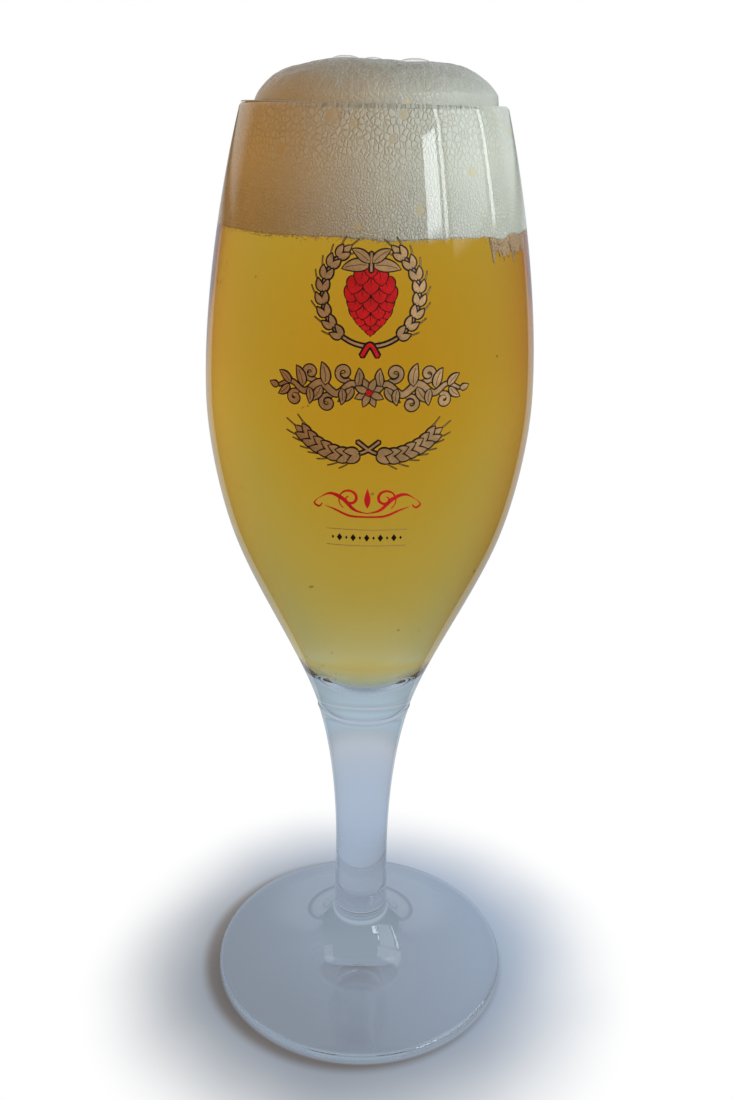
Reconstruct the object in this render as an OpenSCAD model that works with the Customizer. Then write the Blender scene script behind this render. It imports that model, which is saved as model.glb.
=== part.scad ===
// Footed tulip glass for pilsner, filled with beer under a domed head of foam.
// Everything is turned round the Z axis. The foot stands on z = 0.

/* [Bowl] */
// Height of the bowl, from the seam ring up to the rim
bowl_h = 139.3; // [116:0.1:168]
// Outer diameter at the rim
rim_d = 55.4; // [46:0.1:64]
// Inward lean of the wall at the rim, in degrees
rim_lean = 15.5; // [4:0.5:24]
// Outer diameter at the belly, the widest place
belly_d = 73; // [62:0.1:88]
// How far the belly lies below the rim
belly_drop = 60; // [48:0.5:72]
// Outer diameter where the bowl starts to taper
taper_d = 62.6; // [54:0.1:70]
// How far that place lies below the rim
taper_drop = 92.2; // [80:0.1:104]
// Outward lean of the wall there, in degrees
taper_lean = 18; // [10:0.5:26]
// Thickness of the wall
wall = 2; // [1.2:0.1:2.8]
// Glass between the seam ring and the lowest point of the inside
floor_t = 7.3; // [4:0.1:12]
// Height over which the inside rounds off to its lowest point
floor_round = 11; // [8:0.5:16]

/* [Stem] */
// Height of the seam ring above the table
stem_h = 80.7; // [68:0.1:98]
// Diameter at the seam ring
seam_d = 23.3; // [20:0.1:27]
// Outward lean of the stem at the seam ring, in degrees
seam_lean = 16.5; // [8:0.5:24]
// Step between the bowl and the slimmer stem at the seam ring
seam_step = 0.4; // [0.1:0.05:0.8]
// Diameter at the waist, the thinnest place
waist_d = 13.5; // [11:0.1:16]
// Height of the waist above the table
waist_z = 38; // [32:0.5:46]
// Diameter where the stem meets the hub of the foot
neck_d = 14; // [11.5:0.1:17]
// Height of that place above the table
neck_z = 20.5; // [17:0.5:25]

/* [Foot] */
// Diameter of the foot
foot_d = 77.2; // [65:0.1:93]
// Thickness of the foot's rounded edge
edge_t = 3; // [2.2:0.1:3.8]
// Diameter of the hub, half way down its flare
hub_d = 22; // [19:0.1:26]
// Height of that place above the table
hub_z = 12.5; // [10:0.5:15]
// Width of the flat ring that rests on the table
rest_w = 3.6; // [2:0.1:6]
// Height of the hollow under the foot at its middle
hollow_h = 2.2; // [1:0.1:3]

/* [Drink] */
// How far the beer's surface lies below the rim
head_drop = 23; // [14:0.5:34]
// How far the foam stands above the rim
foam_rise = 8.3; // [3:0.1:14]
// How uneven the top of the foam is
foam_lumps = 0.5; // [0:0.05:0.9]

/* [Hidden] */
$fn = 144;

rim_z = stem_h + bowl_h;
beer_z = rim_z - head_drop;
floor_z = stem_h + floor_t;
// Half the height over which the seam ring steps in
seam_half = 0.5;
// Leans of the hub and of the foot's top where they meet the next curve
hub_lean = -45;
foot_lean = -82;

// Length of a curve's handles, as a share of the distance between its ends
handle = 0.3;
curve_steps = 12;
lip_steps = 8;
edge_steps = 10;

// The foam's sides round the axis, and its rings up the wall and over the top
foam_sides = 72;
foam_layers = 6;
foam_rings = 16;
// A higher power makes a flatter top with a steeper shoulder
foam_power = 4.4;

// A place on the profile: [radius, height], and the lean of the wall there
function station(d, z, lean) = [[d / 2, z], lean];

// Direction in which the profile rises, and the way it faces outward
function rise(lean) = [sin(lean), cos(lean)];
function face(lean) = [cos(lean), -sin(lean)];

// Bezier curve down from station s to station e, without its last point
function down(s, e) =
    let (reach = handle * norm(s[0] - e[0]))
    let (a = s[0] - reach * rise(s[1]))
    let (b = e[0] + reach * rise(e[1]))
    [
        for (i = [0 : curve_steps - 1])
            let (t = i / curve_steps)
            let (u = 1 - t)
            u * u * u * s[0] + 3 * u * u * t * a + 3 * u * t * t * b + t * t * t * e[0]
    ];

// Curves down through a list of stations, with the last point
function profile(stations) = [
    for (i = [0 : len(stations) - 2]) each down(stations[i], stations[i + 1]),
    stations[len(stations) - 1][0]
];

// Arc from angle a to angle b, with both ends
function arc(centre, r, a, b, steps) = [
    for (i = [0 : steps])
        let (turn = a + (b - a) * i / steps)
        centre + r * [cos(turn), sin(turn)]
];

// A profile moved inward by the wall, square to itself
function inward(points) = [
    for (i = [0 : len(points) - 1])
        let (above = points[max(i - 1, 0)])
        let (below = points[min(i + 1, len(points) - 1)])
        let (along = (above - below) / norm(above - below))
        points[i] - wall * [along[1], -along[0]]
];

function last(list) = list[len(list) - 1];
function backward(list) = [for (i = [len(list) - 1 : -1 : 0]) list[i]];

// The lip is a half round between the two faces of the wall
lip_centre = [(rim_d - wall) / 2, rim_z - wall / 2];
lip_side = lip_centre + wall / 2 * face(-rim_lean);
edge_centre = [(foot_d - edge_t) / 2, edge_t / 2];
edge_side = edge_centre + edge_t / 2 * face(foot_lean);

bowl_outside = profile([
    [lip_side, -rim_lean],
    station(belly_d, rim_z - belly_drop, 0),
    station(taper_d, rim_z - taper_drop, taper_lean),
    station(seam_d + seam_step, stem_h + seam_half, seam_lean)
]);
stem_outside = profile([
    station(seam_d - seam_step, stem_h - seam_half, seam_lean),
    station(waist_d, waist_z, 0),
    station(neck_d, neck_z, 0),
    station(hub_d, hub_z, hub_lean),
    [edge_side, foot_lean]
]);

// The bowl's inside: the wall's inner face, then the rounded floor
wall_inside = [for (p = inward(bowl_outside)) if (p[1] > floor_z + floor_round) p];
wall_foot = last(wall_inside);
wall_run = wall_inside[len(wall_inside) - 2] - wall_foot;
floor_point = [0, floor_z];
floor_inside = down([wall_foot, atan2(wall_run[0], wall_run[1])], [floor_point, 90]);
inside = concat(wall_inside, floor_inside, [floor_point]);
inside_by_height = [for (p = backward(wall_inside)) [p[1], p[0]]];
function inside_r(z) = lookup(z, inside_by_height);

// The underside: a flat ring to rest on, then a shallow hollow
rest_r = edge_centre[0] - rest_w;
hollow = down([[0, hollow_h], -90], [[rest_r, 0], -75]);

glass_outline = concat(
    backward(inside),
    arc(lip_centre, wall / 2, 180 + rim_lean, rim_lean, lip_steps),
    bowl_outside,
    stem_outside,
    arc(edge_centre, edge_t / 2, -foot_lean, -90, edge_steps),
    [[rest_r, 0]],
    backward(hollow)
);

beer_outline = concat(
    [[0, beer_z], [inside_r(beer_z), beer_z]],
    [for (p = inside) if (p[1] < beer_z) p]
);

// The foam meets the wall just under the lip and rises from there
foam_wall_z = rim_z - wall;
foam_wall_r = inside_r(foam_wall_z);
foam_top = rim_z + foam_rise - foam_wall_z;

// Low swells on the foam, which die out towards the wall
function swell(x, y) =
    let (near = 1 - pow(norm([x, y]) / foam_wall_r, 2))
    let (broad = sin(9 * x + 40) * cos(11 * y - 25))
    let (small = sin(23 * x - 14 * y) * cos(19 * y + 8 * x))
    foam_lumps * near * (broad + 0.6 * small);

function foam_height(x, y) =
    foam_wall_z + foam_top * (1 - pow(norm([x, y]) / foam_wall_r, foam_power)) + swell(x, y);

// Rings of [radius, height], where the dome's height depends on the place
foam_side_rings = [
    for (i = [0 : foam_layers])
        let (z = beer_z + (foam_wall_z - beer_z) * i / foam_layers)
        [inside_r(z), z]
];
foam_dome_radii = [for (i = [1 : foam_rings - 1]) foam_wall_r * sin(90 * (1 - i / foam_rings))];

function foam_ring(r) = [
    for (i = [0 : foam_sides - 1])
        let (turn = 360 * i / foam_sides)
        [r * cos(turn), r * sin(turn)]
];

foam_points = concat(
    [[0, 0, beer_z]],
    [for (ring = foam_side_rings) each [for (p = foam_ring(ring[0])) [p[0], p[1], ring[1]]]],
    [for (r = foam_dome_radii) each [for (p = foam_ring(r)) [p[0], p[1], foam_height(p[0], p[1])]]],
    [[0, 0, foam_height(0, 0)]]
);
foam_count = foam_layers + foam_rings;

// Number of a foam point, by its ring and its side
function foam_at(ring, side) = 1 + ring * foam_sides + side % foam_sides;

foam_faces = concat(
    [for (i = [0 : foam_sides - 1]) [0, foam_at(0, i), foam_at(0, i + 1)]],
    [
        for (ring = [0 : foam_count - 2], i = [0 : foam_sides - 1])
            each [
                [foam_at(ring, i), foam_at(ring + 1, i), foam_at(ring, i + 1)],
                [foam_at(ring, i + 1), foam_at(ring + 1, i), foam_at(ring + 1, i + 1)]
            ]
    ],
    [
        for (i = [0 : foam_sides - 1])
            [foam_at(foam_count - 1, i), len(foam_points) - 1, foam_at(foam_count - 1, i + 1)]
    ]
);

// The glass: bowl, solid stem and foot in one piece
module glass() {
    color([0.80, 0.87, 0.92, 0.4])
        rotate_extrude()
            polygon(glass_outline);
}

// The beer, up to the level at which the foam starts
module beer() {
    color([0.93, 0.72, 0.22])
        rotate_extrude()
            polygon(beer_outline);
}

// The head: foam inside the bowl and its uneven dome above the rim
module foam() {
    color([0.95, 0.94, 0.89])
        polyhedron(foam_points, foam_faces);
}

glass();
beer();
foam();
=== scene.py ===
"""Dresses a footed tulip glass of pilsner: glass, golden beer, a bubbly head and an enamel print."""

import math

import bmesh
import bpy
import numpy as np
from mathutils import Matrix, Vector, noise


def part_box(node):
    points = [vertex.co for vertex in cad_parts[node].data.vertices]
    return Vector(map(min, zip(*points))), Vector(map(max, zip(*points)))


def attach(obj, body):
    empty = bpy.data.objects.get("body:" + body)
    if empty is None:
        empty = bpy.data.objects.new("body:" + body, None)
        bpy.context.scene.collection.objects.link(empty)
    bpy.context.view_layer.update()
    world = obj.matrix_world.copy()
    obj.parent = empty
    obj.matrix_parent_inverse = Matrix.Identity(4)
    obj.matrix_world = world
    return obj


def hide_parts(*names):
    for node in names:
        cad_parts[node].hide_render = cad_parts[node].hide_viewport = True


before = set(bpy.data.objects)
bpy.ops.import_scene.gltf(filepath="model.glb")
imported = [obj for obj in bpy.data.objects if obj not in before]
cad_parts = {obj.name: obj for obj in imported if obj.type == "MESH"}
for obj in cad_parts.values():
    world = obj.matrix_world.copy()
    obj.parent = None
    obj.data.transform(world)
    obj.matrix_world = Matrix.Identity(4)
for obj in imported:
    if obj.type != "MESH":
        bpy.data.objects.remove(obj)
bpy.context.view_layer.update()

bl_info = {
    "name": "Tulip Glass of Pilsner",
    "version": (1, 0, 0),
    "blender": (4, 5, 0),
    "location": "3D View > Sidebar > Beer Glass",
    "description": "Dresses a footed tulip glass with beer, foam, bubbles and an enamel print",
    "category": "Object",
}

MM = 0.001
TURN = 2 * math.pi
FRONT = -math.pi / 2

GLASS_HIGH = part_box("glass")[1]
RIM_Z = GLASS_HIGH.z
FOOT_R = GLASS_HIGH.x
FLOOR_Z, BEER_Z = (corner.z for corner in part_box("beer"))
FOAM_TOP_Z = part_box("foam")[1].z


def length(name, description, value_mm):
    """A size in millimetres, as a length property."""
    return bpy.props.FloatProperty(
        name=name, description=description, default=value_mm * MM, unit="LENGTH", precision=5
    )


def angle(name, description, degrees):
    """An angle property, given in degrees."""
    return bpy.props.FloatProperty(
        name=name, description=description, default=math.radians(degrees), subtype="ANGLE"
    )


def colour(name, description, red, green, blue):
    """A linear colour property."""
    return bpy.props.FloatVectorProperty(
        name=name,
        description=description,
        default=(red, green, blue),
        subtype="COLOR",
        size=3,
        min=0,
        max=1,
    )


def count(name, description, value):
    """A whole number property."""
    return bpy.props.IntProperty(name=name, description=description, default=value)


def amount(name, description, value):
    """A plain number property."""
    return bpy.props.FloatProperty(name=name, description=description, default=value)


class GlassShape(bpy.types.PropertyGroup):
    """Sizes of the glass, as its maker would give them."""

    rim_r: length("Rim radius", "Outer radius at the rim", 27.7)
    rim_lean: angle("Rim lean", "Inward lean of the wall at the rim", 15.5)
    belly_r: length("Belly radius", "Outer radius at the widest place", 36.5)
    belly_drop: length("Belly drop", "How far the belly lies below the rim", 60)
    taper_r: length("Taper radius", "Outer radius where the bowl starts to taper", 31.3)
    taper_drop: length("Taper drop", "How far that place lies below the rim", 92.2)
    taper_lean: angle("Taper lean", "Outward lean of the wall there", 18)
    wall: length("Wall", "Thickness of the wall", 2)
    floor_round: length("Floor round", "Height over which the inside rounds off", 11)
    seam_z: length("Seam height", "Height of the seam ring", 80.7)
    seam_r: length("Seam radius", "Radius at the seam ring", 11.65)
    seam_lean: angle("Seam lean", "Outward lean of the stem at the seam ring", 16.5)
    seam_step: length("Seam step", "Step in radius at the seam ring", 0.06)
    seam_half: length("Seam half height", "Half the height of the step", 0.5)
    seam_bead: length("Seam bead", "How far the mould's seam stands out", 0.03)
    waist_r: length("Waist radius", "Radius at the thinnest place", 6.75)
    waist_z: length("Waist height", "Height of the thinnest place", 38)
    neck_r: length("Neck radius", "Radius where the stem meets the hub", 7)
    neck_z: length("Neck height", "Height of that place", 20.5)
    hub_r: length("Hub radius", "Radius half way down the hub's flare", 11)
    hub_z: length("Hub height", "Height of that place", 12.5)
    hub_lean: angle("Hub lean", "Lean of the hub's flare", -45)
    foot_lean: angle("Foot lean", "Lean of the foot's top at its edge", -82)
    edge: length("Edge", "Thickness of the foot's rounded edge", 3)
    rest_width: length("Rest width", "Width of the ring that rests on the table", 3.6)
    hollow: length("Hollow", "Height of the hollow under the foot", 2.2)


# ---------------------------------------------------------------- outlines


def rise(lean):
    """Direction in which the profile rises."""
    return np.array((math.sin(lean), math.cos(lean)))


def face(lean):
    """Direction in which the profile faces outward."""
    return np.array((math.cos(lean), -math.sin(lean)))


HANDLE = 0.3
CURVE_STEPS = 26
ROUND_STEPS = 14
BEAD_ROWS = 9
# Share of the step's height over which the seam's bead swells
BEAD_SHARE = 0.9
HOLLOW_LEAN = math.radians(-75)


def down(start, end, steps=CURVE_STEPS):
    """Bezier curve down from one (point, lean) to another, without its last point."""
    p, p_lean = start
    q, q_lean = end
    reach = HANDLE * np.linalg.norm(np.subtract(p, q))
    a = p - reach * rise(p_lean)
    b = q + reach * rise(q_lean)
    t = np.linspace(0, 1, steps, endpoint=False)[:, None]
    u = 1 - t
    return u**3 * p + 3 * u**2 * t * a + 3 * u * t**2 * b + t**3 * q


def profile(stations):
    """Curves down through a list of stations, with the last point."""
    pieces = [down(a, b) for a, b in zip(stations, stations[1:])]
    return np.vstack(pieces + [[stations[-1][0]]])


def arc(centre, radius, start, end, steps):
    """Arc between two angles, with both ends."""
    turn = np.linspace(start, end, steps + 1)
    return centre + radius * np.stack((np.cos(turn), np.sin(turn)), 1)


def inward(points, depth):
    """A profile moved inward, square to itself."""
    along = np.empty_like(points)
    along[1:-1] = points[:-2] - points[2:]
    along[0] = points[0] - points[1]
    along[-1] = points[-2] - points[-1]
    along /= np.linalg.norm(along, axis=1)[:, None]
    return points - depth * np.stack((along[:, 1], -along[:, 0]), 1)


def tidy(points, least=2e-6):
    """Drops points that lie on their neighbour."""
    kept = [points[0]]
    for p in points[1:]:
        if np.linalg.norm(p - kept[-1]) > least:
            kept.append(p)
    return np.array(kept)


class Outlines:
    """Every profile of the glass and of what fills it."""

    def __init__(self, s):
        self.wall = s.wall
        self.lip_centre = np.array((s.rim_r - s.wall / 2, RIM_Z - s.wall / 2))
        lip_side = self.lip_centre + s.wall / 2 * face(-s.rim_lean)
        edge_centre = np.array((FOOT_R - s.edge / 2, s.edge / 2))
        edge_side = edge_centre + s.edge / 2 * face(s.foot_lean)
        self.outside = profile(
            [
                (lip_side, -s.rim_lean),
                (np.array((s.belly_r, RIM_Z - s.belly_drop)), 0),
                (np.array((s.taper_r, RIM_Z - s.taper_drop)), s.taper_lean),
                (np.array((s.seam_r + s.seam_step, s.seam_z + s.seam_half)), s.seam_lean),
            ]
        )
        stem = profile(
            [
                (np.array((s.seam_r - s.seam_step, s.seam_z - s.seam_half)), s.seam_lean),
                (np.array((s.waist_r, s.waist_z)), 0),
                (np.array((s.neck_r, s.neck_z)), 0),
                (np.array((s.hub_r, s.hub_z)), s.hub_lean),
                (edge_side, s.foot_lean),
            ]
        )
        swelling = np.linspace(BEAD_SHARE, -BEAD_SHARE, BEAD_ROWS) * s.seam_half
        bead_r = s.seam_r + s.seam_bead * (1 - (swelling / s.seam_half) ** 2)
        bead = np.column_stack((bead_r, s.seam_z + swelling))
        wall_inside = inward(self.outside, s.wall)
        wall_inside = wall_inside[wall_inside[:, 1] > FLOOR_Z + s.floor_round]
        run = wall_inside[-2] - wall_inside[-1]
        floor = np.array((0.0, FLOOR_Z))
        rounding = down((wall_inside[-1], math.atan2(*run)), (floor, math.pi / 2))
        self.inside = np.vstack((wall_inside, rounding[1:], [floor]))
        rest_r = edge_centre[0] - s.rest_width
        hollow = down(
            (np.array((0.0, s.hollow)), -math.pi / 2),
            (np.array((rest_r, 0.0)), HOLLOW_LEAN),
        )
        self.glass = tidy(
            np.vstack(
                (
                    self.inside[::-1],
                    arc(self.lip_centre, s.wall / 2, math.pi + s.rim_lean, s.rim_lean, ROUND_STEPS),
                    self.outside,
                    bead,
                    stem,
                    arc(edge_centre, s.edge / 2, -s.foot_lean, -math.pi / 2, ROUND_STEPS),
                    [[rest_r, 0.0]],
                    hollow[::-1],
                )
            )
        )

    def inside_r(self, z):
        """Radius of the bowl's inside at a height."""
        return np.interp(z, self.inside[::-1, 1], self.inside[::-1, 0])

    def outside_r(self, z):
        """Radius of the bowl's outside at a height."""
        return np.interp(z, self.outside[::-1, 1], self.outside[::-1, 0])

    def filling(self, top_z, into_wall):
        """Outline of a liquid up to a height, which reaches just into the wall."""
        grown = inward(self.inside, -into_wall)
        grown[-1] = (0.0, FLOOR_Z - into_wall)
        grown = grown[grown[:, 1] < top_z]
        top_r = self.inside_r(top_z) + into_wall
        return np.vstack(([[0.0, top_z], [top_r, top_z]], grown))


# ---------------------------------------------------------------- meshes


def new_object(name, vertices, faces, smooth=True):
    """A mesh object from points and faces, with its normals facing outward."""
    mesh = bpy.data.meshes.new(name)
    mesh.from_pydata([tuple(v) for v in vertices], [], [tuple(f) for f in faces])
    mesh.validate()
    built = bmesh.new()
    built.from_mesh(mesh)
    bmesh.ops.recalc_face_normals(built, faces=built.faces)
    built.to_mesh(mesh)
    built.free()
    mesh.polygons.foreach_set("use_smooth", [smooth] * len(mesh.polygons))
    ob = bpy.data.objects.new(name, mesh)
    bpy.context.scene.collection.objects.link(ob)
    return ob


def ring_faces(rows, columns, first=0):
    """Quads between closed rings of points that lie row after row."""
    return [
        (
            first + r * columns + c,
            first + r * columns + (c + 1) % columns,
            first + (r + 1) * columns + (c + 1) % columns,
            first + (r + 1) * columns + c,
        )
        for r in range(rows - 1)
        for c in range(columns)
    ]


def fan_faces(pole, first, columns):
    """Triangles from a pole to a ring of points."""
    return [(pole, first + c, first + (c + 1) % columns) for c in range(columns)]


def lathe(name, outline, columns):
    """A closed solid turned from an outline whose two ends lie on the axis."""
    turn = np.arange(columns) * TURN / columns
    ring = np.stack((np.cos(turn), np.sin(turn)), 1)
    body = outline[1:-1]
    points = [(0, 0, outline[0][1])]
    for r, z in body:
        points += [(r * x, r * y, z) for x, y in ring]
    points.append((0, 0, outline[-1][1]))
    faces = ring_faces(len(body), columns, 1)
    faces += fan_faces(0, 1, columns)
    faces += fan_faces(len(points) - 1, 1 + (len(body) - 1) * columns, columns)
    return new_object(name, points, faces)


def finish_piece(ob, material, replaced=None):
    """Gives a piece its material, its slot and its place in the frame."""
    ob.data.materials.append(material)
    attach(ob, "root")
    if replaced:
        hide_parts(replaced)
    return ob


# ---------------------------------------------------------------- shader helpers


WHITE = (1.0, 1.0, 1.0)
BLACK = (0.0, 0.0, 0.0)
VALUE = "NodeSocketFloat"
COLOUR = "NodeSocketColor"
PLACE = "NodeSocketVector"


class Nodes:
    """Short ways to place and join nodes in one tree."""

    def __init__(self, tree):
        self.tree = tree

    def add(self, kind, values=None, **settings):
        """A node with its settings, and the values or links of its inputs."""
        node = self.tree.nodes.new(kind)
        for name, value in settings.items():
            setattr(node, name, value)
        for name, value in (values or {}).items():
            self.put(node.inputs[name], value)
        return node

    def put(self, socket, value):
        """Links an output to a socket, or sets the socket's own value."""
        if isinstance(value, bpy.types.NodeSocket):
            self.tree.links.new(value, socket)
        elif socket.type == "RGBA":
            socket.default_value = (*value[:3], 1.0)
        else:
            socket.default_value = value

    def place(self):
        """Place on the piece, in metres."""
        return self.add("ShaderNodeTexCoord").outputs["Object"]

    def axes(self, vector):
        """The three parts of a vector."""
        return self.add("ShaderNodeSeparateXYZ", {0: vector}).outputs

    def math(self, operation, a, b=0.0):
        return self.add("ShaderNodeMath", {0: a, 1: b}, operation=operation).outputs[0]

    def times(self, a, b):
        return self.math("MULTIPLY", a, b)

    def plus(self, a, b):
        return self.math("ADD", a, b)

    def minus(self, a, b):
        return self.math("SUBTRACT", a, b)

    def scaled(self, vector, factor):
        """A vector or colour times a number."""
        return self.add("ShaderNodeVectorMath", {0: vector, "Scale": factor}, operation="SCALE").outputs[0]

    def reach(self, vector):
        """Length of a vector."""
        return self.add("ShaderNodeVectorMath", {0: vector}, operation="LENGTH").outputs["Value"]

    def moved(self, vector, **mapping):
        """A place that is shifted or scaled."""
        values = {"Vector": vector, **{name.title(): value for name, value in mapping.items()}}
        return self.add("ShaderNodeMapping", values).outputs[0]

    def ramp(self, value, low, high, low_to=0.0, high_to=1.0):
        """Smooth step of a value between two limits."""
        limits = {"From Min": low, "From Max": high, "To Min": low_to, "To Max": high_to}
        node = self.add("ShaderNodeMapRange", {"Value": value, **limits}, interpolation_type="SMOOTHSTEP")
        return node.outputs["Result"]

    def mix(self, share, a, b):
        """Mix of two colours."""
        return self.add("ShaderNodeMix", {0: share, 6: a, 7: b}, data_type="RGBA").outputs[2]

    def mix_value(self, share, a, b):
        """Mix of two numbers."""
        return self.add("ShaderNodeMix", {0: share, 2: a, 3: b}, data_type="FLOAT").outputs[0]

    def mix_shaders(self, share, a, b):
        return self.add("ShaderNodeMixShader", {0: share, 1: a, 2: b}).outputs[0]

    def facing(self, blend):
        """0 where the surface faces the eye, 1 where it is seen edge on."""
        return self.add("ShaderNodeLayerWeight", {"Blend": blend}).outputs["Facing"]

    def bump(self, height, strength, distance):
        values = {"Height": height, "Strength": strength, "Distance": distance}
        return self.add("ShaderNodeBump", values).outputs[0]

    def principled(self, **values):
        """The Principled shader, with names of inputs in lower case and underscores."""
        names = {"ior": "IOR"}
        inputs = {names.get(key, key.replace("_", " ").title()): v for key, v in values.items()}
        return self.add("ShaderNodeBsdfPrincipled", inputs).outputs[0]

    def show(self, surface, **others):
        self.add("ShaderNodeOutputMaterial", {"Surface": surface, **others})


def new_material(name):
    """An empty material, and a helper for its tree."""
    material = bpy.data.materials.new(name)
    material.use_nodes = True
    material.node_tree.nodes.clear()
    return material, Nodes(material.node_tree)


def new_group(name, inputs, outputs):
    """An empty node group with named sockets: a helper for its tree, its inputs and its outputs."""
    tree = bpy.data.node_groups.new(name, "ShaderNodeTree")
    for sockets, way in ((inputs, "INPUT"), (outputs, "OUTPUT")):
        for label, kind in sockets.items():
            tree.interface.new_socket(label, in_out=way, socket_type=kind)
    nodes = Nodes(tree)
    return nodes, nodes.add("NodeGroupInput").outputs, nodes.add("NodeGroupOutput").inputs


def place_group(nodes, build, values):
    """Places a node group, which is built the first time, and gives its outputs."""
    tree = bpy.data.node_groups.get(build.__name__)
    if tree is None:
        build(build.__name__)
        tree = bpy.data.node_groups[build.__name__]
    return nodes.add("ShaderNodeGroup", values, node_tree=tree).outputs


def soft_clouds(name):
    """Group: soft noise as a value, and as a colour that wanders between two."""
    inputs = {"Place": PLACE, "Scale": VALUE, "Detail": VALUE, "Roughness": VALUE}
    inputs.update({"First": COLOUR, "Second": COLOUR})
    nodes, given, result = new_group(name, inputs, {"Value": VALUE, "Color": COLOUR})
    noise_inputs = {label: given[label] for label in ("Scale", "Detail", "Roughness")}
    cloud = nodes.add("ShaderNodeTexNoise", {"Vector": given["Place"], **noise_inputs}).outputs["Fac"]
    nodes.put(result["Value"], cloud)
    nodes.put(result["Color"], nodes.mix(cloud, given["First"], given["Second"]))


def clouds(nodes, place, scale, detail, roughness=0.5, first=BLACK, second=WHITE):
    """Places the group of soft clouds, and gives its value and its colour."""
    values = {"Place": place, "Scale": scale, "Detail": detail, "Roughness": roughness}
    placed = place_group(nodes, soft_clouds, {**values, "First": first, "Second": second})
    return placed["Value"], placed["Color"]


def lamps_pass(nodes, shader, tint, edge_tint, bend):
    """Lets lamps shine through a clear shader, with darker shadows under its rounded edges."""
    shade = nodes.mix(nodes.facing(bend), tint, edge_tint)
    clear = nodes.add("ShaderNodeBsdfTransparent", {"Color": shade}).outputs[0]
    is_shadow = nodes.add("ShaderNodeLightPath").outputs["Is Shadow Ray"]
    return nodes.mix_shaders(is_shadow, shader, clear)


# ---------------------------------------------------------------- glass


class GlassLook(bpy.types.PropertyGroup):
    """Look of the glass."""

    tint: colour("Tint", "Colour that the glass gives to what shines through", 0.975, 0.988, 0.995)


GLASS_COLUMNS = 256
# Tint of what the inside of the glass mirrors where beer wets it
WET_MIRROR = (0.0, 0.0, 0.0)
# Facing weights between which light inside the wall starts to be mirrored in full
TOTAL_FROM = (0.235, 0.27)
# How much darker the cooler streaks in the glass are
STREAK = 0.985
# Share of lamp light that passes through the glass, straight on and at its rounded edges
GLASS_SHADOW = ((0.99, 0.99, 0.99), (0.50, 0.49, 0.47), 0.35)
# How far from the inside's outline a face may lie and still count as wet
WET_REACH = 0.4 * MM
WET_BELOW = 0.5 * MM


def glass_material(look, name, wet):
    """Clear glass with faint ripples, dry or wetted by the beer."""
    material, nodes = new_material(name)
    place = nodes.place()
    ripple, _ = clouds(nodes, place, 60.0, 1.0, 0.4)
    darker = [STREAK * c for c in look.tint]
    _, tint = clouds(nodes, place, 25.0, 3.0, first=look.tint, second=darker)
    principled = nodes.principled(
        base_color=tint,
        roughness=0.0,
        ior=1.5,
        transmission_weight=1.0,
        specular_tint=WET_MIRROR if wet else WHITE,
        normal=nodes.bump(ripple, 0.06, 0.4 * MM),
    )
    if wet:
        behind = nodes.add("ShaderNodeNewGeometry").outputs["Backfacing"]
        total = nodes.times(behind, nodes.ramp(nodes.facing(0.5), *TOTAL_FROM))
        nodes.put(principled.node.inputs["Specular Tint"], nodes.mix(total, WET_MIRROR, WHITE))
    nodes.show(lamps_pass(nodes, principled, *GLASS_SHADOW))
    return material


class MakeGlass(bpy.types.Operator):
    """Turns the bowl, stem and foot as one piece of clear glass"""

    bl_idname = "beerglass.make_glass"
    bl_label = "Glass"

    def execute(self, context):
        scene = context.scene
        outlines = Outlines(scene.glass_shape)
        ob = lathe("glass_body", outlines.glass, GLASS_COLUMNS)
        finish_piece(ob, glass_material(scene.glass_look, "clear_glass", False), "glass")
        ob.data.materials.append(glass_material(scene.glass_look, "wet_glass", True))
        for polygon in ob.data.polygons:
            x, y, z = polygon.center
            under_beer = FLOOR_Z - WET_BELOW < z < BEER_Z
            if under_beer and math.hypot(x, y) < outlines.inside_r(z) + WET_REACH:
                polygon.material_index = 1
        return {"FINISHED"}


# ---------------------------------------------------------------- beer


class BeerLook(bpy.types.PropertyGroup):
    """Look of the beer."""

    depth_tint: colour("Depth tint", "What the beer lets through", 0.979, 0.797, 0.022)
    density: amount("Density", "How fast the beer takes up light, per metre", 60.0)


BEER_COLUMNS = 192
INTO_WALL = 0.12 * MM
BEER_INTO_FOAM = 1.2 * MM
# Slight haze in the beer, between two pale tints
HAZE = ((1.0, 1.0, 0.97), (0.97, 0.98, 0.93))
# Share of lamp light that passes through the beer, straight on and at its edges
BEER_SHADOW = ((0.90, 0.76, 0.40), (0.80, 0.60, 0.25), 0.3)


def beer_material(look):
    """Clear golden beer, which takes up light with depth."""
    material, nodes = new_material("pilsner")
    _, tint = clouds(nodes, nodes.place(), 30.0, 2.0, first=HAZE[0], second=HAZE[1])
    principled = nodes.principled(
        base_color=tint,
        roughness=0.04,
        ior=1.333,
        transmission_weight=1.0,
        specular_tint=WET_MIRROR,
    )
    depth = nodes.add("ShaderNodeVolumeAbsorption", {"Color": look.depth_tint, "Density": look.density})
    nodes.show(lamps_pass(nodes, principled, *BEER_SHADOW), Volume=depth.outputs[0])
    return material


class MakeBeer(bpy.types.Operator):
    """Fills the bowl with beer, just into the wall and up into the foam"""

    bl_idname = "beerglass.make_beer"
    bl_label = "Beer"

    def execute(self, context):
        scene = context.scene
        outlines = Outlines(scene.glass_shape)
        outline = outlines.filling(BEER_Z + BEER_INTO_FOAM, INTO_WALL)
        ob = lathe("beer_body", outline, BEER_COLUMNS)
        finish_piece(ob, beer_material(scene.beer_look), "beer")
        return {"FINISHED"}


# ---------------------------------------------------------------- foam


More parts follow.
